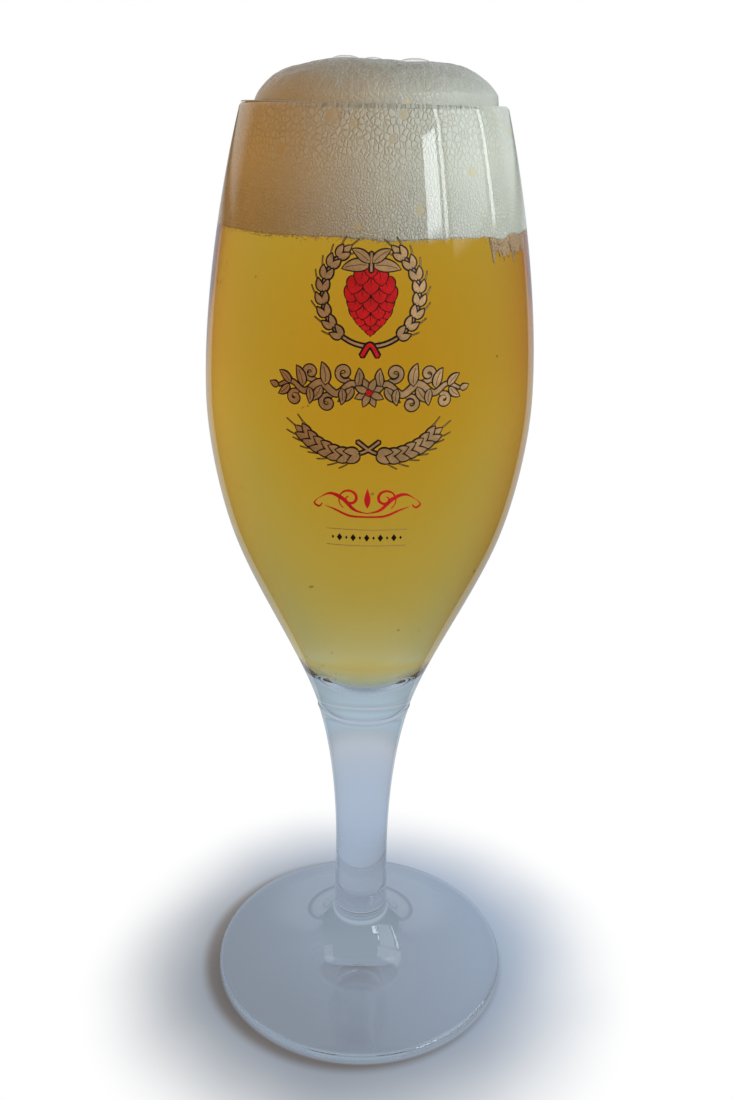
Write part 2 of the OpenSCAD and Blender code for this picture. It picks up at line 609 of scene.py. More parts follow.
class FoamLook(bpy.types.PropertyGroup):
    """Look of the foam."""

    light: colour("Light", "Foam's own colour", 0.89, 0.92, 0.855)
    deep: colour("Deep", "Colour between the bubbles", 0.72, 0.70, 0.56)
    bubble: colour("Bubble", "Colour seen through a large bubble", 0.80, 0.74, 0.52)


FOAM_COLUMNS = 560
SIDE_ROWS = 66
LIP_ROWS = 5
DOME_ROWS = 80
BASE_ROWS = 12
FOAM_INTO_WALL = 0.16 * MM
# A higher power makes a flatter top with a steeper shoulder
SHOULDER = 4.4
STEEPNESS = 0.75
# A higher power lets the swells reach further towards the wall
SWELL_POWER = 5
# Swells of the dome, from broad to fine: size across and height (mm), and seed of the noise
SWELLS = [(12.0, 0.85, 31), (5.5, 0.35, 37), (2.2, 0.12, 41), (1.1, 0.09, 43)]
# Room kept for the swells under the foam's highest place, and how far they are all lifted (mm)
DOME_ROOM = 1.1 * MM
FROTH_LIFT = 0.35
# How much the dome shrinks on its left side
LEFT_SLUMP = 0.06
# Where the foam spills over the lip: turn from the front and width of that place, and least spill
SPILL_AT = -1.45
SPILL_WIDTH = 0.75
SPILL_LEAST = 0.15
SPILL_TURN = math.radians(120)
# How far the foam stands off the lip at first, and how much further at the end (mm)
LIP_START, LIP_GROWTH = -0.1, 0.35
# How far the hem hangs (mm), and its waves: size in radii of the bowl, height (mm) and seed
HEM_DROP = 0.7
HEM_WAVES = [(0.55, 0.55, 3), (0.12, 0.25, 7), (0.03, 0.22, 29)]
# Where it is ragged: turn from the front and width of that place, wave and drop (mm)
RAGGED_AT = 1.02
RAGGED_WIDTH = 0.22
RAGGED_WAVE = (0.14, 1.0, 11)
RAGGED_DROP = 2.2
# Where else it hangs lower: wave and drop (mm)
LOWER_WAVE = (0.5, 1.0, 23)
LOWER_DROP = 0.72
# Size of the bubbles that the mesh itself shows, and how far they stand out at the wall and on top
CELL = 1.15 * MM
CELL_EDGE = 0.45
CELL_AT_WALL = 0.015 * MM
CELL_ON_TOP = 0.03 * MM
# Groove round a large bubble: its width as a share of the radius, and its depth
GROOVE_WIDTH = 0.16
GROOVE_DEPTH = 0.10 * MM
SKIRT = 0.12 * MM
SKIRT_ROWS = 7
BASE_LIFT = 0.4 * MM

# Large bubbles on the wall: turn from the front (degrees), depth below the rim and radius (mm)
WALL_BUBBLES = [
    (-17, 2.4, 1.4),
    (-8, 3.6, 0.9),
    (12, 2.0, 1.0),
    (7, 6.2, 0.8),
    (17, 18.5, 1.1),
    (-5, 21.5, 0.9),
    (14, -0.4, 0.8),
    (40, 12.0, 1.2),
    (-38, 8.5, 1.0),
    (75, 5.0, 1.3),
    (118, 9.0, 1.5),
    (150, 15.0, 1.0),
    (-95, 6.0, 1.2),
    (-140, 12.0, 1.4),
    (-165, 4.0, 1.0),
    (-70, 16.0, 0.9),
]


def swirl(x, y, z, scale, seed):
    """Smooth noise between -1 and 1, whose swirls are as wide as the scale."""
    return noise.noise(Vector((x / scale + seed, y / scale - seed, z / scale + 2 * seed)))


def swirls(x, y, *waves):
    """Sum of swirls, each given by its size, height and seed."""
    return sum(high * swirl(x, y, 0, size, seed) for size, high, seed in waves)


def cell_relief(points, size, seed):
    """Height of packed bubbles, from 0 in the creases to 1 on the crests."""
    out = np.empty(len(points))
    for i, p in enumerate(points):
        near, _ = noise.voronoi(Vector((p[0] / size + seed, p[1] / size, p[2] / size)))
        edge = min(1.0, (near[1] - near[0]) / CELL_EDGE)
        out[i] = math.sqrt(max(0.0, 1 - (1 - edge) ** 2))
    return out


class FoamShape:
    """Works out where the foam's surface runs."""

    def __init__(self, outlines):
        self.o = outlines
        self.turns = np.arange(FOAM_COLUMNS) * TURN / FOAM_COLUMNS
        from_front = (self.turns - FRONT + math.pi) % TURN - math.pi
        near_spill = np.exp(-(((from_front - SPILL_AT) / SPILL_WIDTH) ** 2))
        self.spill = SPILL_LEAST + (1 - SPILL_LEAST) * near_spill
        self.hem = np.array([self.hem_drop(t, f) for t, f in zip(self.turns, from_front)])

    def hem_drop(self, turn, from_front):
        """How far the foam hangs below the beer's level along the wall."""
        x, y = math.cos(turn), math.sin(turn)
        place = math.exp(-(((from_front - RAGGED_AT) / RAGGED_WIDTH) ** 2))
        ragged = RAGGED_DROP * place * max(0.0, 0.25 + swirls(x, y, RAGGED_WAVE))
        lower = LOWER_DROP * max(0.0, swirls(x, y, LOWER_WAVE))
        return MM * (HEM_DROP + swirls(x, y, *HEM_WAVES) + ragged + lower)

    def dome(self, x, y):
        """Height of the foam's top over a place inside the rim."""
        r = math.hypot(x, y)
        left = max(0.0, -x / max(r, 1e-6))
        inner = (self.o.lip_centre[0] - self.o.wall * 0.3) * (1 - LEFT_SLUMP * left)
        share = min(1.0, r / inner)
        cap = (FOAM_TOP_Z - RIM_Z - DOME_ROOM) * (1 - share**SHOULDER) ** STEEPNESS
        near = 1 - share**SWELL_POWER
        broad, small, fine, froth = (swirls(x / MM, y / MM, wave) for wave in SWELLS)
        bumps = near * (broad + small) + fine * min(1.0, 3 * near) + FROTH_LIFT + froth
        return RIM_Z + cap + MM * bumps


def build_foam(outlines):
    """One closed mesh: hem and side along the wall, over the lip, and up the dome."""
    shape = FoamShape(outlines)
    wall_top = RIM_Z - outlines.wall * 0.5
    ring = np.stack((np.cos(shape.turns), np.sin(shape.turns)), 1)
    rows = []
    for k in range(SIDE_ROWS):
        share = k / (SIDE_ROWS - 1)
        z = (BEER_Z - shape.hem) * (1 - share) + wall_top * share
        r = outlines.inside_r(z) + FOAM_INTO_WALL
        rows.append(np.column_stack((ring * r[:, None], z)))
    half = outlines.wall / 2
    for k in range(1, LIP_ROWS + 1):
        turn = math.pi - shape.spill * SPILL_TURN * k / LIP_ROWS
        reach = half + (LIP_START + LIP_GROWTH * k / LIP_ROWS) * MM
        r = outlines.lip_centre[0] + reach * np.cos(turn)
        z = outlines.lip_centre[1] + reach * np.sin(turn)
        rows.append(np.column_stack((ring * r[:, None], z)))
    start_r, start_z = r, z
    for k in range(1, DOME_ROWS):
        share = math.sin(math.pi / 2 * (1 - k / DOME_ROWS))
        points = ring * (start_r * share)[:, None]
        blend = min(1.0, k / SKIRT_ROWS)
        top = np.array([shape.dome(x, y) for x, y in points])
        z = np.maximum(top, start_z + SKIRT) * blend + start_z * (1 - blend)
        rows.append(np.column_stack((points, z)))
    base = []
    for k in range(1, BASE_ROWS):
        share = 1 - k / BASE_ROWS
        points = rows[0][:, :2] * share
        lift = (1 - share) ** 0.5
        z = rows[0][:, 2] * (1 - lift) + (BEER_Z - BASE_LIFT) * lift
        base.append(np.column_stack((points, z)))
    stacked = base[::-1] + rows
    points = np.vstack(stacked)
    return shape, points, len(stacked), len(base)


class MakeFoam(bpy.types.Operator):
    """Builds the head: bubbles pressed on the wall, a ragged hem and an uneven dome"""

    bl_idname = "beerglass.make_foam"
    bl_label = "Foam"

    def execute(self, context):
        scene = context.scene
        outlines = Outlines(scene.glass_shape)
        shape, points, rows, base_rows = build_foam(outlines)
        side = slice(base_rows * FOAM_COLUMNS, (base_rows + SIDE_ROWS) * FOAM_COLUMNS)
        crest = cell_relief(points, CELL, 5)
        radial = points[:, :2] / np.maximum(np.linalg.norm(points[:, :2], axis=1), 1e-9)[:, None]
        push = np.zeros(len(points))
        push[side] = (crest[side] - 0.5) * CELL_AT_WALL
        mask = np.zeros(len(points))
        for turn, drop, radius in WALL_BUBBLES:
            centre_z = RIM_Z - drop * MM
            centre_r = float(outlines.inside_r(centre_z))
            a = FRONT + math.radians(turn)
            centre = np.array((centre_r * math.cos(a), centre_r * math.sin(a), centre_z))
            far = np.linalg.norm(points - centre, axis=1) / (radius * MM)
            inside = far < 1.0
            mask[inside] = np.maximum(mask[inside], np.clip((1 - far[inside]) * 5, 0, 1))
            groove = np.exp(-(((far - 1.0) / GROOVE_WIDTH) ** 2))
            push = push * (1 - np.clip((1.25 - far) * 4, 0, 1)) - groove * GROOVE_DEPTH
        push[: side.start] = 0
        push[side.stop :] = 0
        points[:, :2] += radial * push[:, None]
        top = slice(side.stop + LIP_ROWS * FOAM_COLUMNS, len(points))
        points[top, 2] += (crest[top] - 0.5) * CELL_ON_TOP
        columns = FOAM_COLUMNS
        bottom = (0, 0, float(points[:columns, 2].mean()))
        last = points[-columns:]
        top_pole = (0, 0, float(last[:, 2].mean()))
        everything = np.vstack(([bottom], points, [top_pole]))
        faces = ring_faces(rows, columns, 1)
        faces += fan_faces(0, 1, columns)
        faces += fan_faces(len(everything) - 1, 1 + (rows - 1) * columns, columns)
        ob = new_object("foam_head", everything, faces)
        attribute = ob.data.attributes.new("large_bubble", "FLOAT", "POINT")
        attribute.data.foreach_set("value", np.concatenate(([0], mask, [0])).astype(np.float32))
        finish_piece(ob, foam_material(scene.foam_look, "foam"), "foam")
        return {"FINISHED"}


# Bubbles per metre in most of the head and near the rim, and how their height is pressed
FINE_CELLS = 1750.0
COARSE_CELLS = 1050.0
CELL_HEIGHT = (1.0, 1.0, 0.78)
# Between these heights the bubbles grow coarse, and the foam goes from pressed to dry
COARSE_FROM, COARSE_TO = RIM_Z - 14 * MM, RIM_Z + 2 * MM
DRY_FROM, DRY_TO = RIM_Z - 1.4 * MM, RIM_Z + 0.2 * MM
# Brightness of the dry foam on top, a darker copy of the foam's colour that is painted shade on the top,
# and how deep its creases look beside those at the wall
DRY_SHADED_TONES = (0.78, 0.62)
DRY_CREASE = 0.25
DRY_HEIGHT = 0.30


def packed_cells(nodes, place, scale):
    """Height of bubbles pressed flat side by side: 0 in the creases, 1 on the faces."""
    values = {"Vector": place, "Scale": scale, "Randomness": 0.85}
    cells = nodes.add("ShaderNodeTexVoronoi", values, feature="DISTANCE_TO_EDGE")
    return nodes.math("POWER", nodes.ramp(cells.outputs["Distance"], 0.0, 0.24), 0.6)


def foam_skin(name):
    """Group: colour and height of foam, pressed flat on the wall and dry above the rim, where its darker
    colour is painted shade.
    """
    colours = ("Light", "Deep", "Bubble", "Dry Light", "Dry Deep")
    inputs = {"Place": PLACE, "Large Bubble": VALUE, **dict.fromkeys(colours, COLOUR)}
    nodes, given, result = new_group(name, inputs, {"Color": COLOUR, "Height": VALUE})
    place, large = given["Place"], given["Large Bubble"]
    flat = nodes.moved(place, scale=CELL_HEIGHT)
    z = nodes.axes(place)["Z"]
    tone, _ = clouds(nodes, place, 110.0, 3.0)
    settled = nodes.plus(z, nodes.times(tone, 0.012))
    near_rim = nodes.ramp(settled, COARSE_FROM, COARSE_TO)
    fine = packed_cells(nodes, flat, FINE_CELLS)
    coarse = packed_cells(nodes, flat, COARSE_CELLS)
    height = nodes.mix_value(near_rim, fine, coarse)
    pressed = nodes.ramp(z, DRY_TO, DRY_FROM)
    crease = nodes.times(nodes.minus(1.0, height), nodes.ramp(pressed, 0.0, 1.0, DRY_CREASE, 1.0))
    depth = nodes.plus(nodes.times(crease, 0.5), nodes.times(tone, 0.3))
    body = nodes.mix(nodes.times(depth, 0.55), given["Light"], given["Deep"])
    # The dry top takes a darker copy of the foam's colour: painted shade on the top
    dry = nodes.mix(tone, given["Dry Light"], given["Dry Deep"])
    body = nodes.mix(pressed, dry, body)
    nodes.put(result["Color"], nodes.mix(nodes.times(large, 0.8), body, given["Bubble"]))
    height = nodes.times(height, nodes.ramp(pressed, 0.0, 1.0, DRY_HEIGHT, 1.0))
    nodes.put(result["Height"], nodes.times(height, nodes.minus(1.0, nodes.times(large, 0.9))))


def foam_material(look, name):
    """Foam of small bubbles, wet on the wall and matt above the rim, where painted shade darkens its
    colour.
    """
    material, nodes = new_material(name)
    # A darker copy of the foam's colour for the top: painted shade
    dry_shaded_light, dry_shaded_deep = ([share * c for c in look.light] for share in DRY_SHADED_TONES)
    large = nodes.add("ShaderNodeAttribute", attribute_name="large_bubble").outputs["Fac"]
    values = {"Place": nodes.place(), "Large Bubble": large}
    values.update({"Light": look.light, "Deep": look.deep, "Bubble": look.bubble})
    skin = place_group(nodes, foam_skin, {**values, "Dry Light": dry_shaded_light, "Dry Deep": dry_shaded_deep})
    principled = nodes.principled(
        base_color=skin["Color"],
        roughness=0.24,
        ior=1.42,
        subsurface_weight=0.2,
        subsurface_radius=(1.0, 0.75, 0.5),
        subsurface_scale=1.2 * MM,
        normal=nodes.bump(skin["Height"], 0.85, 0.20 * MM),
    )
    nodes.show(principled)
    return material


# ---------------------------------------------------------------- froth


class FrothLook(bpy.types.PropertyGroup):
    """Loose froth: beads under the hem, a thin patch on the wall and clear bubbles on top."""

    beads: count("Beads", "How many beads hang under the hem", 1500)
    patch_turn: angle("Patch turn", "Where the thin patch clings to the wall, from the front", 59.5)
    patch_half: angle("Patch half width", "Half the turn that the patch covers", 13.5)
    patch_drop: length("Patch drop", "How far the patch hangs below the beer's level", 5.6)
    light: colour("Light", "Colour of the thin patch", 0.70, 0.49, 0.31)
    deep: colour("Deep", "Colour between the patch's bubbles", 0.58, 0.38, 0.20)
    bubble: colour("Bubble", "Colour seen through the patch's bubbles", 0.6, 0.45, 0.25)
    seed: count("Seed", "Number that picks the places", 12)


# Clear bubbles on the dome: across and away from the middle, radius and height (mm)
TOP_BUBBLES = [
    (-5.9, -1.0, 2.9, 0.8),
    (-0.4, 0.6, 2.5, 0.9),
    (8.1, -0.4, 3.7, 1.2),
    (3.9, 2.6, 1.8, 0.6),
    (13.2, 1.2, 1.7, 0.5),
    (-10.5, 2.2, 1.4, 0.4),
    (-6.4, 8.8, 1.9, 0.6),
    (5.8, 10.6, 2.3, 0.7),
    (-1.6, -8.2, 1.3, 0.4),
]


def ball_mesh(subdivisions):
    """Corners and faces of a ball of radius one."""
    ball = bmesh.new()
    bmesh.ops.create_icosphere(ball, subdivisions=subdivisions, radius=1.0)
    corners = np.array([v.co[:] for v in ball.verts])
    triangles = [tuple(v.index for v in f.verts) for f in ball.faces]
    ball.free()
    return corners, triangles


def merge_balls(name, places, subdivisions):
    """Many balls of (x, y, z, radius, height) in one mesh."""
    corners, triangles = ball_mesh(subdivisions)
    points, faces = [], []
    for k, (x, y, z, radius, height) in enumerate(places):
        points.append(corners * (radius, radius, height) + (x, y, z))
        faces += [tuple(k * len(corners) + i for i in f) for f in triangles]
    return new_object(name, np.vstack(points), faces)


PATCH_COLUMNS = 120
PATCH_ROWS = 16
# How far beads and patch reach into the wall, and how thick the patch is
FROTH_INTO_WALL = 0.13 * MM
PATCH_LAP = 0.3 * MM
PATCH_THICK = 0.25
PATCH_EDGE = 0.02
# How steeply the patch's two ends taper, and its waves and ragged sides along the wall
PATCH_TAPER = 9
PATCH_WAVES = [(0.16, 0.42, 51), (0.05, 0.21, 57)]
PATCH_JAG = (0.22, 0.012, 61)
# Spread of the beads below the hem, and their least and largest radius (mm)
BEAD_SPREAD = 0.35
BEAD_RADII = (0.06, 0.15)
BEAD_LAP = 0.1 * MM
# How deep the middle of a clear bubble sits under the foam's top
FILM_SUNK = 0.25 * MM


def thin_patch(outlines, shape, look):
    """A thin ragged patch of foam that clings to the inside of the wall under the hem."""
    across = np.linspace(-1, 1, PATCH_COLUMNS)
    turns = FRONT + look.patch_turn + look.patch_half * across
    top = BEER_Z + PATCH_LAP
    reach = np.clip((1 - np.abs(across)) * PATCH_TAPER, 0.02, 1) ** 0.5
    wave = np.array([swirls(a, 0, *PATCH_WAVES) for a in across])
    drop = look.patch_drop * reach * (0.82 + wave) + PATCH_LAP
    rows = []
    for k in range(PATCH_ROWS):
        share = k / (PATCH_ROWS - 1)
        jag = np.array([swirls(a, share * 3, PATCH_JAG) for a in across])
        z = top - drop * share
        wall = outlines.inside_r(z)
        thick = (PATCH_THICK * (1 - share**3) + PATCH_EDGE) * MM
        angles = np.concatenate((turns + jag, (turns + jag)[::-1]))
        radii = np.concatenate((wall + FROTH_INTO_WALL, (wall - thick)[::-1]))
        heights = np.concatenate((z, z[::-1]))
        rows.append(np.column_stack((radii * np.cos(angles), radii * np.sin(angles), heights)))
    columns = 2 * PATCH_COLUMNS
    faces = ring_faces(PATCH_ROWS, columns)
    for first in (0, (PATCH_ROWS - 1) * columns):
        for c in range(PATCH_COLUMNS - 1):
            faces.append((first + c, first + c + 1, first + columns - 2 - c, first + columns - 1 - c))
    return new_object("froth_patch", np.vstack(rows), faces)


class MakeFroth(bpy.types.Operator):
    """Adds beads under the foam's hem, a thin patch on the wall and clear bubbles on the dome"""

    bl_idname = "beerglass.make_froth"
    bl_label = "Froth"

    def execute(self, context):
        scene = context.scene
        look = scene.froth_look
        outlines = Outlines(scene.glass_shape)
        shape = FoamShape(outlines)
        rng = np.random.default_rng(look.seed)
        foam = bpy.data.materials["foam"]
        beads = []
        for _ in range(look.beads):
            turn = rng.uniform(0, TURN)
            hem = np.interp(turn, shape.turns, shape.hem)
            z = BEER_Z - hem - abs(rng.normal(0, BEAD_SPREAD)) * MM + BEAD_LAP
            radius = rng.uniform(*BEAD_RADII) * MM
            r = outlines.inside_r(z) + FROTH_INTO_WALL - radius
            beads.append((r * math.cos(turn), r * math.sin(turn), z, radius, radius))
        finish_piece(merge_balls("froth_beads", beads, 1), foam)
        thin = foam_material(look, "thin_foam")
        finish_piece(thin_patch(outlines, shape, look), thin)
        films = []
        for x, y, radius, height in TOP_BUBBLES:
            top = shape.dome(x * MM, y * MM)
            films.append((x * MM, y * MM, top - FILM_SUNK, radius * MM, height * MM))
        finish_piece(merge_balls("froth_bubbles", films, 4), film_material())
        return {"FINISHED"}


def film_material():
    """The thin wet skin of a large bubble: clear, with a darker line round its edge that is painted shade.
    """
    material, nodes = new_material("bubble_film")
    # Grey film that grows more opaque where seen edge on: a painted shade line round each bubble
    _, tint = clouds(nodes, nodes.place(), 700.0, 2.0, first=(0.62, 0.60, 0.55), second=(0.44, 0.42, 0.38))
    cover = nodes.ramp(nodes.facing(0.35), 0.35, 1.0, 0.05, 0.65)
    nodes.show(nodes.principled(base_color=tint, roughness=0.08, ior=1.33, alpha=cover))
    return material


# ---------------------------------------------------------------- print


class PrintLook(bpy.types.PropertyGroup):
    """Look and place of the enamel print on the front of the bowl."""

    gold: colour("Gold", "Colour of the gold enamel", 0.88, 0.55, 0.27)
    red: colour("Red", "Colour of the red enamel", 0.85, 0.012, 0.018)
    dark: colour("Dark", "Colour of the outlines", 0.016, 0.005, 0.003)
    wreath_z: length("Wreath height", "Height of the middle of the wreath", 186.4)
    vine_z: length("Vine height", "Height of the vine's stem", 168.3)
    ears_z: length("Ears height", "Height at which the two lying ears cross", 157.0)
    flourish_z: length("Flourish height", "Height of the red flourish", 145.4)
    border_z: length("Border height", "Height of the middle of the lowest border", 137.4)


# Places across a stroke, as shares of its half width, and how far each is raised
ACROSS = np.array((-1.0, -0.97, -0.5, 0.0, 0.5, 0.97, 1.0))
TOP_SHARE = np.array((0.0, 0.98, 1.0, 1.0, 1.0, 0.98, 0.0))
# Depth in the glass, height of the lowest enamel and of each further level (mm)
UNDER_GLASS = 0.05
ENAMEL_LOW = 0.030
ENAMEL_STEP = 0.006
# Usual widths of the dark outline round strokes, leaves and awns, and its width at a tip (mm)
OUTLINE = 0.38
LEAF_OUTLINE = 0.26
VINE_OUTLINE = 0.28
AWN_OUTLINE = 0.12
TIP = 0.05


def direction(line):
    """Unit vectors along a line of places."""
    along = np.gradient(line, axis=0)
    return along / np.maximum(np.linalg.norm(along, axis=1), 1e-9)[:, None]


class Enamel:
    """Gathers raised strokes in millimetres and lays them on the bowl."""

    def __init__(self, outlines):
        self.o = outlines
        self.points = {"gold": [], "red": [], "dark": []}
        self.faces = {"gold": [], "red": [], "dark": []}

    def stroke(self, tone, line, half, level=0, outline=OUTLINE):
        """A closed ribbon along a line of (across, height), with an outline under it."""
        line = np.asarray(line, float)
        half = np.broadcast_to(np.asarray(half, float), (len(line),)).copy()
        if outline:
            along = direction(line) * outline
            longer = np.vstack((line[:1] - along[:1], line, line[-1:] + along[-1:]))
            wider = np.concatenate(([TIP], half + outline, [TIP]))
            self.ribbon("dark", longer, wider, ENAMEL_LOW + level * ENAMEL_STEP)
        self.ribbon(tone, line, np.maximum(half, 0.02), ENAMEL_LOW + (level + 1) * ENAMEL_STEP)

    def ribbon(self, tone, line, half, height):
        """A closed ribbon along a line, from just inside the glass up to a height."""
        along = direction(line)
        side = np.stack((-along[:, 1], along[:, 0]), 1)
        flat = line[:, None, :] + side[:, None, :] * (half[:, None] * ACROSS)[:, :, None]
        upper = self.on_bowl(flat, height * TOP_SHARE)
        lower = self.on_bowl(flat[:, ::-1], np.full(len(ACROSS), -UNDER_GLASS))
        loops = np.concatenate((upper, lower), axis=1)
        rows, columns = loops.shape[:2]
        first = sum(len(p) for p in self.points[tone])
        self.points[tone].append(loops.reshape(-1, 3))
        self.faces[tone] += ring_faces(rows, columns, first)
        self.faces[tone].append(tuple(range(first, first + columns)))
        last = first + (rows - 1) * columns
        self.faces[tone].append(tuple(range(last, last + columns)))

    def on_bowl(self, flat, height):
        """Wraps flat places round the front of the bowl, raised by a height."""
        z = flat[..., 1] * MM
        r = self.o.outside_r(z)
        turn = FRONT + flat[..., 0] * MM / r
        r = r + height * MM
        return np.stack((r * np.cos(turn), r * np.sin(turn), z), -1)

    def both(self, tone, line, half, level=0, outline=OUTLINE):
        """A stroke and its mirror image."""
        line = np.asarray(line, float)
        self.stroke(tone, line, half, level, outline)
        self.stroke(tone, line * (-1, 1), half, level, outline)


def leaf_line(base, lean, size, bend=0.0, steps=11):
    """A line of a given length from a base, which bends as it goes."""
    share = np.linspace(0, 1, steps)
    turn = lean + bend * share
    run = np.stack((np.cos(turn), np.sin(turn)), 1) * size / (steps - 1)
    return np.asarray(base) + np.vstack(([0, 0], np.cumsum(run[:-1], axis=0)))


def leaf_half(width, fullness=1.0, steps=11):
    """Half widths of a leaf that is widest near its first third."""
    share = np.linspace(0, 1, steps)
    return width / 2 * np.sin(math.pi * share**0.8) ** fullness


def spiral(centre, start, turns, r_start, r_end, steps=40):
    """A volute round a centre."""
    share = np.linspace(0, 1, steps)
    turn = start + turns * TURN * share
    r = r_start + (r_end - r_start) * share**0.8
    return np.asarray(centre) + np.stack((r * np.cos(turn), r * np.sin(turn)), 1)


def smooth_line(points, steps=40):
    """A smooth line through a few points."""
    points = np.asarray(points, float)
    ends = np.vstack((2 * points[0] - points[1], points, 2 * points[-1] - points[-2]))
    out = []
    per_piece = max(2, steps // (len(points) - 1))
    t = np.linspace(0, 1, per_piece, endpoint=False)[:, None]
    for a, b, c, d in zip(ends, ends[1:], ends[2:], ends[3:]):
        bend = (2 * a - 5 * b + 4 * c - d) * t**2
        twist = (3 * b - a - 3 * c + d) * t**3
        out.append(0.5 * (2 * b + (c - a) * t + bend + twist))
    return np.vstack(out + [points[-1:]])


def raised(places, z):
    """Places whose heights are counted from z."""
    return [(across, z + height) for across, height in places]


def swell(start, middle, end, steps):
    """Half widths of a pen stroke, thick in its middle."""
    share = np.linspace(0, 1, steps)
    base = start + (end - start) * share
    return base + (middle - (start + end) / 2) * np.sin(math.pi * share) ** 1.5


AWN_STEPS = 9
AWN_HALF = np.linspace(0.10, 0.03, AWN_STEPS)
GRAIN_OPEN = math.radians(34)
GRAIN_FULLNESS = 0.75


def barley_ear(enamel, line, grains, size, width, level=0):
    """An ear of barley and its mirror image: stem, paired grains with awns, and one at the tip."""
    line = np.asarray(line, float)
    enamel.both("gold", line, np.linspace(0.24, 0.14, len(line)), level)
    reach = np.concatenate(([0], np.cumsum(np.linalg.norm(np.diff(line, axis=0), axis=1))))

    def at(share):
        """Place on the stem at a share of its length."""
        return np.array([np.interp(share * reach[-1], reach, line[:, i]) for i in (0, 1)])

    for k, spot in enumerate(np.linspace(0.30, 0.97, grains)):
        lean = math.atan2(*(at(min(spot + 0.02, 1)) - at(spot - 0.02))[::-1])
        for side in (1, -1):
            base = at(spot) + 0.12 * np.array((-math.sin(lean), math.cos(lean))) * side
            tilt = lean + side * GRAIN_OPEN
            awn = leaf_line(base, tilt, size * 1.75, -side * 0.45, AWN_STEPS)
            enamel.both("gold", awn, AWN_HALF, level, AWN_OUTLINE)
            grain = leaf_line(base, tilt, size, -side * 0.5)
            half = leaf_half(width, GRAIN_FULLNESS)
            enamel.both("gold", grain, half, level + 4 + 2 * (grains - k), 0.32)
    lean = math.atan2(*(line[-1] - line[-2])[::-1])
    awn = leaf_line(line[-1], lean, size * 1.9, 0, AWN_STEPS)
    enamel.both("gold", awn, AWN_HALF, level, AWN_OUTLINE)
    grain = leaf_line(line[-1], lean, size * 1.1)
    enamel.both("gold", grain, leaf_half(width, GRAIN_FULLNESS), level + 2, LEAF_OUTLINE)


# Scales of the hop cone, from top to bottom: height, places across and length (mm)
HOP_ROWS = [
    (5.3, (0.0,), 2.6),
    (4.4, (1.5,), 3.1),
    (3.0, (0.0, 2.5), 3.4),
    (1.4, (1.35, 2.9), 3.4),
    (-0.3, (0.0, 2.5), 3.3),
    (-1.9, (1.2, 2.3), 3.0),
    (-3.4, (0.0, 1.5), 2.8),
    (-4.8, (0.75,), 2.3),
    (-5.6, (0.0,), 2.3),
]
# Leaves of the hop: lean, length and height of their base (mm)
HOP_LEAVES = [(0.10, 5.2, 6.1), (0.85, 4.0, 6.6)]


def hop_cone(enamel, z, level):
    """A red hop cone hanging from a gold stalk with two pairs of leaves."""
    for low, spots, size in HOP_ROWS[::-1]:
        for spot in spots[::-1]:
            lean = math.radians(-90) + spot * 0.13
            put = enamel.both if spot else enamel.stroke
            scale = leaf_line((spot, z + low + 1.2), lean, size, 0.0, 13)
            put("red", scale, leaf_half(size * 0.92, 0.62, 13), level, 0.24)
            vein = leaf_line((spot, z + low + 0.9), lean, size * 0.55, 0.0, 7)
            put("dark", vein, np.linspace(0.10, 0.03, 7), level + 1, 0)
            level += 2
    stalk = smooth_line(raised([(0, 8.4), (0, 7.0), (0, 5.0)], z), 12)
    enamel.stroke("gold", stalk, 0.22, level + 2)
    for lean, size, start in HOP_LEAVES:
        line = leaf_line((0.3, z + start), lean, size, -0.5)
        enamel.both("gold", line, leaf_half(size * 0.42, 0.8), level, LEAF_OUTLINE)
        enamel.both("dark", line[1:-1], 0.06, level + 1, 0)
        level += 3


# The vine's stem, from the flower outward: across and height (mm)
VINE_STEM = [(1.2, 0), (3.4, 1.7), (6.4, -0.4), (9.6, 1.6), (12.8, -0.3), (15.6, 1.3), (18.6, 0.2)]
# Its scrolls: across and height (mm), side of the stem, and radius (mm)
SCROLLS = [(3.9, 1.6, 1, 1.75), (7.2, -0.2, -1, 1.7), (10.6, 1.5, 1, 1.6), (14.0, 0.0, -1, 1.4)]
# Its leaves: across and height (mm), lean (degrees) and length (mm)
VINE_LEAVES = [
    (2.3, 1.2, 112, 3.4),
    (3.2, 0.9, -62, 3.9),
    (5.4, 0.6, -108, 3.0),
    (8.6, 1.3, 98, 4.2),
    (9.4, 0.9, -70, 3.6),
    (12.0, 0.4, -112, 3.0),
    (13.2, 0.7, 88, 3.9),
    (15.9, 1.0, 60, 3.1),
    (16.2, 0.6, -58, 3.0),
]
LEAF_BEND = math.radians(38)
SCROLL_START = math.radians(-130)
PETALS = 8


